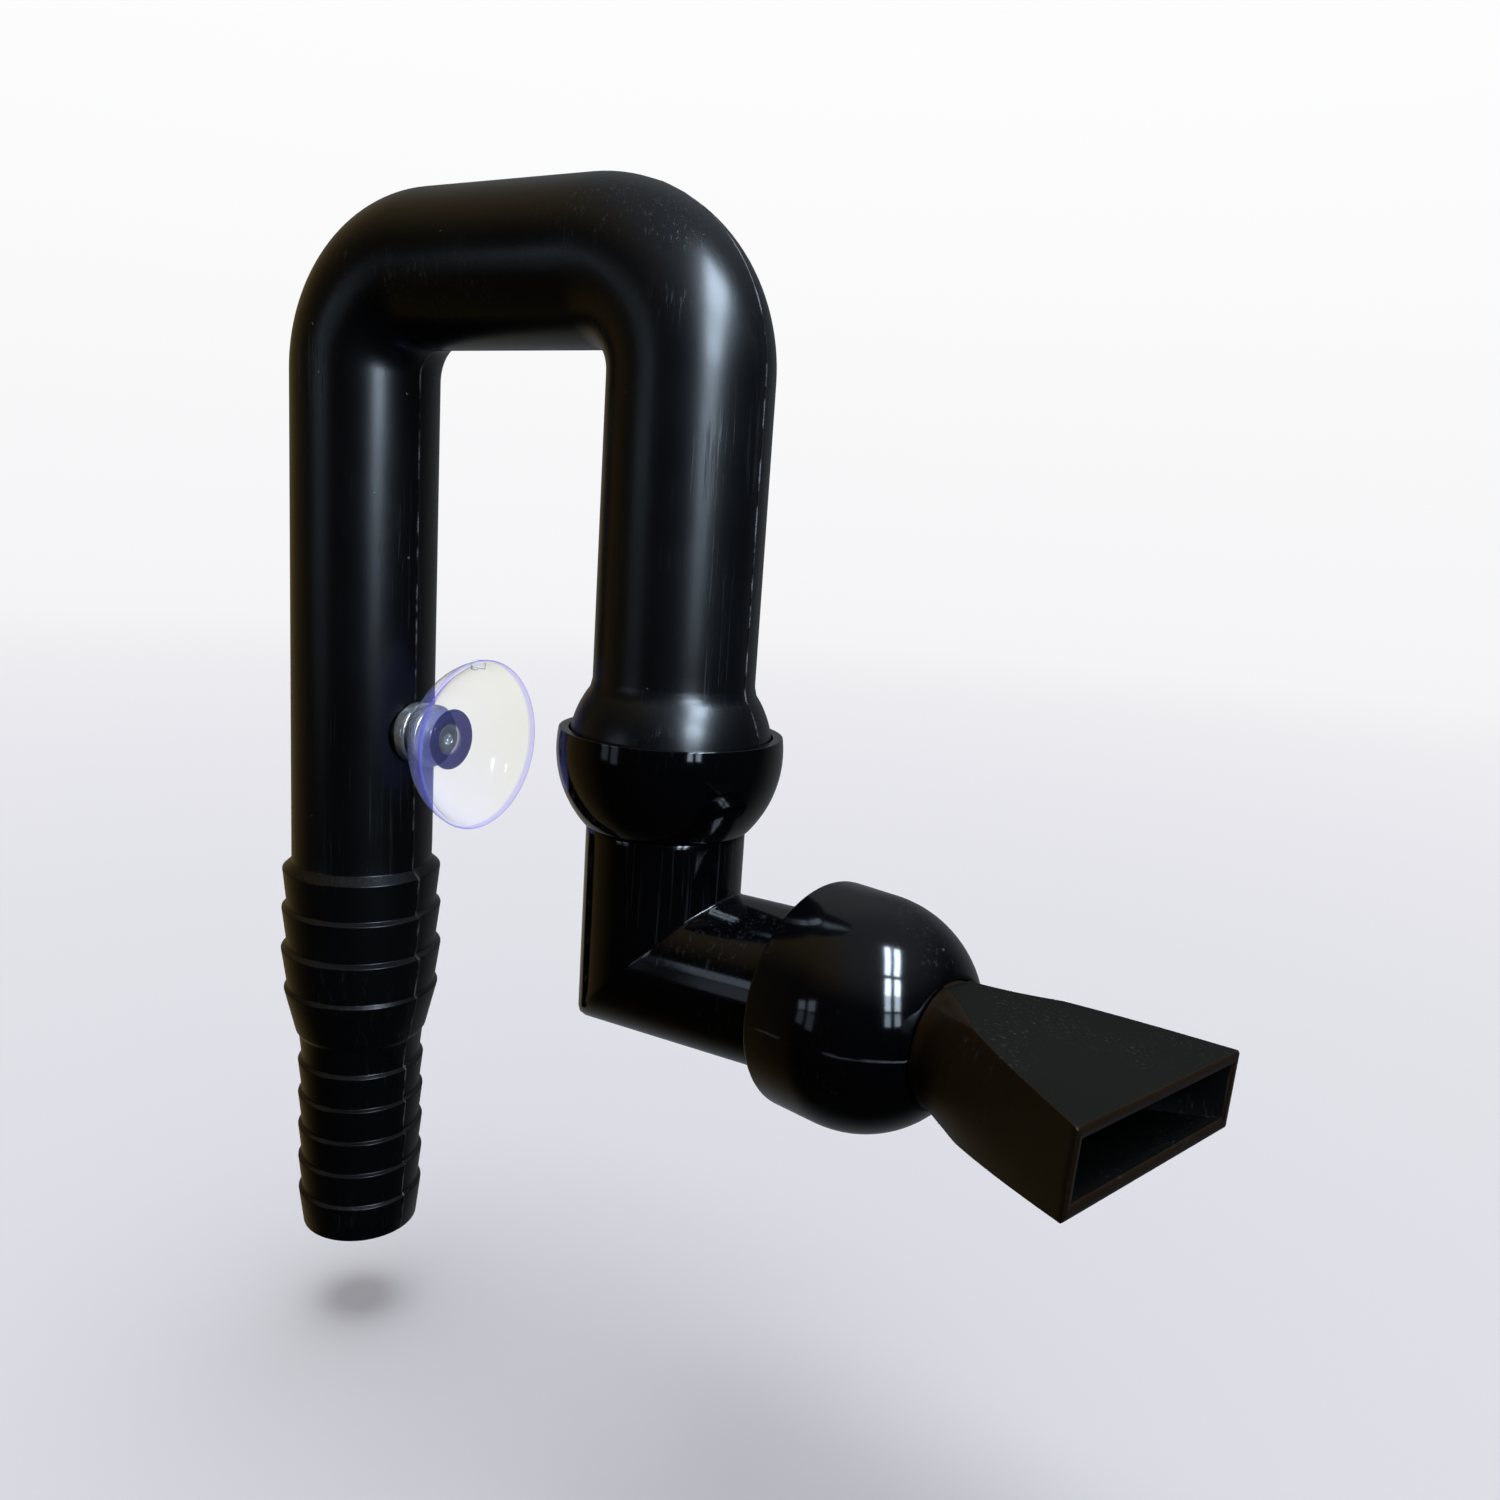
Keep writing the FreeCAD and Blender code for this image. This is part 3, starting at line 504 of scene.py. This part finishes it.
# ---------------------------------------------------------------- fan nozzle
def fan():
    """Round neck that spreads to a flat mouth; two flat faces cut across the rounded body."""
    start, neck = FAN_START, NOSE_BASE + 0.15 * MM
    bead = NOSE_FLOOR - 0.1 * MM
    flat_n, side_n = 18, 26

    def plane(x):
        return FLAT_START + (OUT_HIGH / 2 - FLAT_START) * (x - start) / (NOZZLE_LONG - start)

    def loft_point(u, t):
        """Quarter-section point, t from 0 at the widest side to 1 at the top."""
        a = math.pi / 2 * t
        y = (1 - u) * FAN_ROUND * math.cos(a)
        z = (1 - u) * FAN_ROUND * math.sin(a)
        if t <= 0.5:
            return y + u * OUT_WIDE / 2, z + u * FAN_TALL / 2 * (t / 0.5)
        return y + u * OUT_WIDE / 2 * ((1 - t) / 0.5), z + u * FAN_TALL / 2

    def section(x):
        """Upper-right quarter: side from the middle to the crease, then the flat to the middle."""
        u = max(0.0, (x - start) / (NOZZLE_LONG - start))
        top = plane(max(x, neck))
        low, high = 0.0, 1.0
        for _ in range(40):
            mid = (low + high) / 2
            if loft_point(u, mid)[1] < top:
                low = mid
            else:
                high = mid
        side = [loft_point(u, low * k / side_n) for k in range(side_n + 1)]
        crease = side[-1][0]
        flat = [(crease * (1 - k / flat_n), top) for k in range(1, flat_n + 1)]
        return side, flat

    def ring_of(quarter):
        right = quarter
        left = [(-y, z) for y, z in quarter[::-1]][1:]
        upper = right + left
        lower = [(y, -z) for y, z in upper[::-1]][1:-1]
        return upper + lower

    def place(x, loop):
        return [Vector((x, y, z)) for y, z in loop]

    def round_loop(r, like):
        """Circle whose points keep the section's own spread."""
        return [(r * y / math.hypot(y, z), r * z / math.hypot(y, z)) for y, z in like]

    def crisp(side, flat, bevel):
        """Quarter with a small bevel where side meets flat."""
        (y0, z0), (y1, z1) = side[-2], side[-1]
        length = math.hypot(y1 - y0, z1 - z0)
        t = min(0.45, bevel / length)
        near = (y1 + (y0 - y1) * t, z1 + (z0 - z1) * t)
        return side[:-1] + [near, (y1 - bevel, z1)] + flat

    loops = []
    xs = [neck + 0.25 * MM] + list(np.linspace(start, NOZZLE_LONG - 0.25 * MM, 40))
    first_side, first_flat = section(start)
    template = ring_of(crisp(first_side, first_flat, 0.15 * MM))
    loops.append(place(bead - 0.9 * MM, round_loop(NECK_BORE, template)))
    loops.append(place(bead - 0.9 * MM, round_loop(NECK_BEAD - 0.3 * MM, template)))
    loops.append(place(bead - 0.1 * MM, round_loop(NECK_BEAD, template)))
    loops.append(place(bead, round_loop(NECK, template)))
    loops.append(place(neck, round_loop(NECK, template)))
    loops.append(place(neck, [(0.985 * y, 0.985 * z) for y, z in template]))
    for x in xs:
        side, flat = section(x)
        loops.append(place(x, ring_of(crisp(side, flat, 0.15 * MM))))
    side, flat = section(NOZZLE_LONG)
    mouth = ring_of(crisp(side, flat, 0.15 * MM))

    def shrink(loop, by):
        """Loop drawn in by a wall thickness, square to the mouth's box."""
        ky, kz = 1 - 2 * by / OUT_WIDE, 1 - 2 * by / OUT_HIGH
        return [(y * ky, z * kz) for y, z in loop]

    loops.append(place(NOZZLE_LONG, shrink(mouth, 0.22 * MM)))
    loops.append(place(NOZZLE_LONG, shrink(mouth, WALL - 0.3 * MM)))
    loops.append(place(NOZZLE_LONG - 0.3 * MM, shrink(mouth, WALL)))
    inner_mouth = shrink(mouth, WALL)
    inner_neck = round_loop(NECK_BORE, template)
    for k in range(1, 13):
        u = 1 - k / 12
        x = start + (NOZZLE_LONG - start) * u
        loop = [(a * (1 - u) + c * u, b * (1 - u) + d * u)
                for (a, b), (c, d) in zip(inner_neck, inner_mouth)]
        loops.append(place(x, loop))
    verts, faces = skin(loops)
    roll = Matrix.Rotation(NOZZLE_ROLL, 4, "X")
    yaw = Matrix.Rotation(math.atan2(nozzle_axis.y, nozzle_axis.x), 4, "Z")
    move = Matrix.Translation(ball_2) @ yaw @ roll
    verts = [move @ v for v in verts]
    piece = finish_mesh("nozzle_shell", verts, faces, "nozzle", ["fan_nozzle"])
    # the rounded sides take the copy with the painted brownish reflection
    piece.data.materials.append(SIDES_PAINTED_SHEEN)
    piece.data.materials.append(MATTE)
    piece.data.materials.append(INSIDE_PAINTED_SHADE)
    up = (yaw @ roll).to_3x3() @ Z
    for face in piece.data.polygons:
        out = face.center - ball_2
        forward = out.dot(nozzle_axis)
        # inward-facing faces take the darker copy, painted shade; flat faces past the neck take the plain plastic
        if face.normal.dot(out - nozzle_axis * forward) < 0 and abs(face.normal.dot(nozzle_axis)) < 0.7:
            face.material_index = 2
        elif abs(face.normal.dot(up)) > 0.95 and forward > neck:
            face.material_index = 1


# ---------------------------------------------------------------- suction cup and its fixings
def suction_cup():
    base = Vector((0, 0, stay.z))
    dome = [(DOME_X - DOME * math.cos(a), DOME_R_AT + DOME * math.sin(a))
            for a in np.radians(np.linspace(12.5, 76.7, 30))]
    hollow = [(HOLLOW_X - HOLLOW * math.cos(a), HOLLOW_R_AT + HOLLOW * math.sin(a))
              for a in np.radians(np.linspace(62.8, 10.5, 30))]
    collar = [(16.95, 2.08), (16.95, 4.6), (17.3, 5.0), (17.9, 5.2)]
    well = [(20.1, 4.75), (20.1, 2.68), (17.92, 2.68), (17.92, 2.08)]
    points = [(h * MM, r * MM) for h, r in collar + dome + hollow + well]
    outline = rounded(points, 0.25 * MM, 3)
    piece = lathe("suction_cup_soft", outline, base, X, Z, "cup", ["suction_cup"], count=96)
    mesh = piece.data
    mesh.materials.append(PVC)
    edge, navy = [], []
    for vertex in mesh.vertices:
        h = vertex.co.x / MM
        r = math.hypot(vertex.co.y, vertex.co.z - stay.z) / MM
        edge.append(1.0 if r > 13.75 else 0.0)
        navy.append(1.0 if (19.0 < h < 20.4 and 2.5 < r < 5.1) else 0.0)
    for name, values in (("edge", edge), ("navy", navy)):
        mesh.attributes.new(name, "FLOAT", "POINT").data.foreach_set("value", values)
    tab = rounded([(24.8 * MM, 12.6 * MM), (24.8 * MM, 13.9 * MM), (26.4 * MM, 13.9 * MM),
                   (26.4 * MM, 12.6 * MM)], 0.35 * MM)
    verts, faces = [], []
    n = len(tab)
    for y in (-0.9, -0.65, 0.65, 0.9):
        inset = 0.25 * MM if abs(y) > 0.8 else 0.0
        verts += [Vector((h, y * MM, stay.z + r - inset)) for h, r in tab]
    for k in range(3):
        faces += [(k * n + i, k * n + (i + 1) % n, (k + 1) * n + (i + 1) % n, (k + 1) * n + i) for i in range(n)]
    faces += [tuple(range(n)), tuple(reversed(range(3 * n, 4 * n)))]
    nub = finish_mesh("pull_tab", verts, faces, "cup", [])
    nub.data.materials.append(PVC)


def fixings():
    base = Vector((0, 0, stay.z))
    nut = [(12.2, 2.05), (12.2, 5.15), (12.45, 5.3), (13.9, 5.3), (14.25, 5.0), (14.3, 4.1), (14.9, 4.1),
           (14.9, 2.05)]
    washer = [(14.9, 2.05), (14.95, 4.9), (15.3, 5.3), (16.4, 5.3), (16.85, 4.9), (16.9, 2.05)]
    screw = [(7.4, 0.0), (7.4, 1.6), (7.8, 2.0), (18.0, 2.0), (18.0, 2.6), (19.2, 2.6), (19.6, 2.1), (19.6, 1.0),
             (18.7, 0.8), (18.7, 0.0)]
    for name, points, node in (("nut_plated", nut, "lock_nut"), ("washer_plated", washer, "flange_washer"),
                               ("screw_plated", screw, "cup_screw")):
        outline = rounded([(h * MM, r * MM) for h, r in points], 0.15 * MM, 4)
        piece = lathe(name, outline, base, X, Z, "pipe", [node], count=96)
        piece.data.materials.append(CHROME)
    insert = frame["nodes"]["thread_insert"]
    for entry in insert.material_slots:
        entry.material = BRASS


u_pipe()
socket_cup("upper_cup", ball_1, -Z, X, "upper_socket", "upper_socket", (CUP_BASE, CUP_FLOOR, HOLE, RIM_HIGH), ())
elbow()
tilt_up = (Z - nozzle_axis * Z.dot(nozzle_axis)).normalized()
socket_cup("nozzle_cup", ball_2, nozzle_axis, tilt_up, "nozzle_socket", "nozzle_socket",
           (NOSE_BASE, NOSE_FLOOR, NOSE_HOLE, SKIRT), (math.pi / 2, 3 * math.pi / 2))
fan()
suction_cup()
fixings()


# ---------------------------------------------------------------- stage, light and camera
FLOOR_Z, FLOOR_FLAT, FLOOR_BEND, WALL_HIGH = -0.018, 1.6, 0.9, 3.2


def backdrop():
    """A pale bowl: flat floor that curves up into a wall all round."""
    outline = [(0.0, FLOOR_Z), (FLOOR_FLAT, FLOOR_Z)]
    for k in range(1, 17):
        a = math.pi / 2 * k / 16
        outline.append((FLOOR_FLAT + FLOOR_BEND * math.sin(a), FLOOR_Z + FLOOR_BEND * (1 - math.cos(a))))
    outline.append((FLOOR_FLAT + FLOOR_BEND, WALL_HIGH))
    n = 96
    verts, faces = [(leg_x, 0, FLOOR_Z)], []
    for r, z in outline[1:]:
        verts += [(leg_x + r * math.cos(2 * math.pi * i / n), r * math.sin(2 * math.pi * i / n), z)
                  for i in range(n)]
    faces += [(0, 1 + i, 1 + (i + 1) % n) for i in range(n)]
    for k in range(len(outline) - 2):
        a, b = 1 + k * n, 1 + (k + 1) * n
        faces += [(a + i, b + i, b + (i + 1) % n, a + (i + 1) % n) for i in range(n)]
    mesh = bpy.data.meshes.new("backdrop")
    mesh.from_pydata(verts, [], faces)
    for face in mesh.polygons:
        face.use_smooth = True
    floor = bpy.data.objects.new("backdrop", mesh)
    bpy.context.scene.collection.objects.link(floor)
    s = Shader("backdrop")
    spot = s.add("VectorMath", {0: s.add("TexCoord").outputs["Object"], 1: (-leg_x, 0, 0)}, operation="ADD")
    axes = s.add("SeparateXYZ", {"Vector": spot.outputs[0]})
    flat_spot = s.add("CombineXYZ", {"X": axes.outputs["X"], "Y": axes.outputs["Y"]}).outputs[0]
    away = s.add("VectorMath", {0: flat_spot}, operation="LENGTH").outputs["Value"]
    # Painted light on the stage: the bowl glows with its own brightness, painted darker towards the object and
    # brighter up the wall.
    painted_shade_near_object = s.sums("DIVIDE", 0.072, s.sums("ADD", away, 0.172))
    painted_tone = s.sums("ADD", s.sums("SUBTRACT", 0.95, painted_shade_near_object), s.ramp(axes.outputs["Z"], 0.0, 1.0, 0.0, 0.06))
    colour = s.blend(s.ramp(painted_tone, 0.60, 1.0), (0.597, 0.597, 0.665, 1), (1.0, 1.0, 1.0, 1))
    near = s.ramp(away, 0.3, 1.4, 1.0, 0.0)
    # near the object there is less painted glow and more real sun light on the floor, so the object's shadow shows
    painted_glow = s.sums("SUBTRACT", 1.0, s.sums("MULTIPLY", near, 0.62))
    lamp_part = s.blend(near, (0, 0, 0, 1), (0.575, 0.575, 0.63, 1))
    paint = s.add("BsdfDiffuse", {"Color": lamp_part})
    light = s.add("Emission", {"Color": colour, "Strength": painted_glow})
    floor.data.materials.append(s.finish(s.add("AddShader", {0: paint.outputs[0], 1: light.outputs[0]}).outputs[0]))
    floor.visible_glossy = False
    floor.visible_diffuse = False
    return floor


# the view: where the camera stands from the top of the inlet leg, and how it is turned
AZIMUTH, ELEVATION, ROLL = math.radians(28.83), math.radians(11.43), math.radians(3.91)
LENS, SHIFT_X, SHIFT_Y = 29.64, 0.0076, 0.0095
back = Vector((math.sin(AZIMUTH) * math.cos(ELEVATION), -math.cos(AZIMUTH) * math.cos(ELEVATION),
               math.sin(ELEVATION)))
right = Vector((math.cos(AZIMUTH), math.sin(AZIMUTH), 0))
up = back.cross(right)
cam_x = right * math.cos(ROLL) + up * math.sin(ROLL)
cam_y = up * math.cos(ROLL) - right * math.sin(ROLL)
cam_at = Vector((0.15983, -0.15392, bar_z - 0.03421))


def camera():
    data = bpy.data.cameras.new("camera")
    data.sensor_width = 36.0
    data.lens = LENS
    data.shift_x = SHIFT_X
    data.shift_y = SHIFT_Y
    data.clip_start = 0.005
    data.clip_end = 20.0
    view = bpy.data.objects.new("camera", data)
    turn = Matrix((cam_x, cam_y, back)).transposed().to_4x4()
    view.matrix_world = Matrix.Translation(cam_at) @ turn
    bpy.context.scene.collection.objects.link(view)
    bpy.context.scene.camera = view


def aim(across, rise):
    """Direction from the object: its share to the camera's right, and its angle up from the front."""
    depth, lift = math.sqrt(1 - across ** 2), math.radians(rise)
    front = Vector((math.sin(AZIMUTH), -math.cos(AZIMUTH), 0))
    return right * across + (front * math.cos(lift) + Z * math.sin(lift)) * depth


def pane(name, across, rises, width, distance, radiance, colour, floor_free):
    """Rectangular light, square to the line from the object to its middle."""
    low, high = rises
    middle = aim(across, (low + high) / 2)
    light = bpy.data.lights.new(name, "AREA")
    light.shape = "RECTANGLE"
    light.size = width
    light.size_y = 2 * distance * math.sqrt(1 - across ** 2) * math.tan(math.radians((high - low) / 2))
    light.energy = radiance * math.pi * light.size * light.size_y
    light.color = colour
    lamp = bpy.data.objects.new(name, light)
    side = (right - middle * across).normalized()
    turn = Matrix((side, middle.cross(side), middle)).transposed().to_4x4()
    lamp.matrix_world = Matrix.Translation(Vector((leg_x, 0, 0.09)) + middle * distance) @ turn
    bpy.context.scene.collection.objects.link(lamp)
    lamp.light_linking.receiver_collection = floor_free


def world_light():
    """Dim room: brighter overhead and behind the object, warmer to the left."""
    world = bpy.data.worlds.new("room")
    world.use_nodes = True
    tree = world.node_tree

    def node(kind, inputs, **settings):
        made = tree.nodes.new("ShaderNode" + kind)
        for key, value in settings.items():
            setattr(made, key, value)
        for key, value in inputs.items():
            if isinstance(value, bpy.types.NodeSocket):
                tree.links.new(value, made.inputs[key])
            else:
                made.inputs[key].default_value = value
        return made

    way = node("TexCoord", {}).outputs["Generated"]

    def towards(direction, low, high, top):
        dot = node("VectorMath", {0: way, 1: direction}, operation="DOT_PRODUCT").outputs["Value"]
        ramp = node("MapRange", {"Value": dot, "From Min": low, "From Max": high, "To Min": 0.0, "To Max": top},
                    interpolation_type="SMOOTHSTEP")
        return ramp.outputs["Result"]

    overhead = towards(Z, 0.35, 0.92, 0.25)
    behind = towards(-back, 0.15, 0.85, 0.14)
    left_behind = towards((-right * 0.75 - back * 0.65).normalized(), 0.45, 0.95, 0.11)
    sum_0 = node("Math", {0: overhead, 1: behind}, operation="ADD").outputs[0]
    sum_1 = node("Math", {0: sum_0, 1: left_behind}, operation="ADD").outputs[0]
    level = node("Math", {0: sum_1, 1: 0.012}, operation="ADD").outputs[0]
    warm = towards(-right, 0.15, 0.75, 1.0)
    tint = node("Mix", {0: warm, 6: (0.86, 0.93, 1.0, 1), 7: (1.0, 0.72, 0.30, 1)}, data_type="RGBA").outputs[2]
    surface = tree.nodes["Background"]
    tree.links.new(tint, surface.inputs[0])
    tree.links.new(level, surface.inputs[1])
    bpy.context.scene.world = world


# window rows: lower and upper edge in degrees up from the front, radiance; columns: share to the right
NEAR_ROWS = ((2, 13, 6.0), (15.5, 29.5, 15.0), (29.5, 44.5, 44.0), (48.5, 78, 42.0))
NEAR_COLUMNS = (0.376, 0.504)
FAR_ROWS = ((-14, 9, 0.6), (12, 27, 1.6))
FAR_COLUMNS = (-0.89, -0.79)


def lights(floor):
    floor_free = bpy.data.collections.new("floor_free")
    floor_free.objects.link(floor)
    floor_free.collection_objects[0].light_linking.link_state = "EXCLUDE"
    day = (0.68, 0.83, 1.0)
    for name, columns, rows, width, distance in (("window", NEAR_COLUMNS, NEAR_ROWS, 0.021, 0.25),
                                                 ("far_window", FAR_COLUMNS, FAR_ROWS, 0.10, 0.8)):
        for column, across in enumerate(columns):
            for row, (low, high, radiance) in enumerate(rows):
                pane("%s_%d_%d" % (name, column, row), across, (low, high), width, distance, radiance, day,
                     floor_free)
    sun = bpy.data.lights.new("ceiling", "SUN")
    sun.energy = 2.0
    sun.angle = math.radians(42)
    ceiling = bpy.data.objects.new("ceiling", sun)
    bpy.context.scene.collection.objects.link(ceiling)
    ceiling.visible_glossy = False
    world_light()


floor = backdrop()
camera()
lights(floor)
bpy.context.scene.view_settings.view_transform = "Standard"
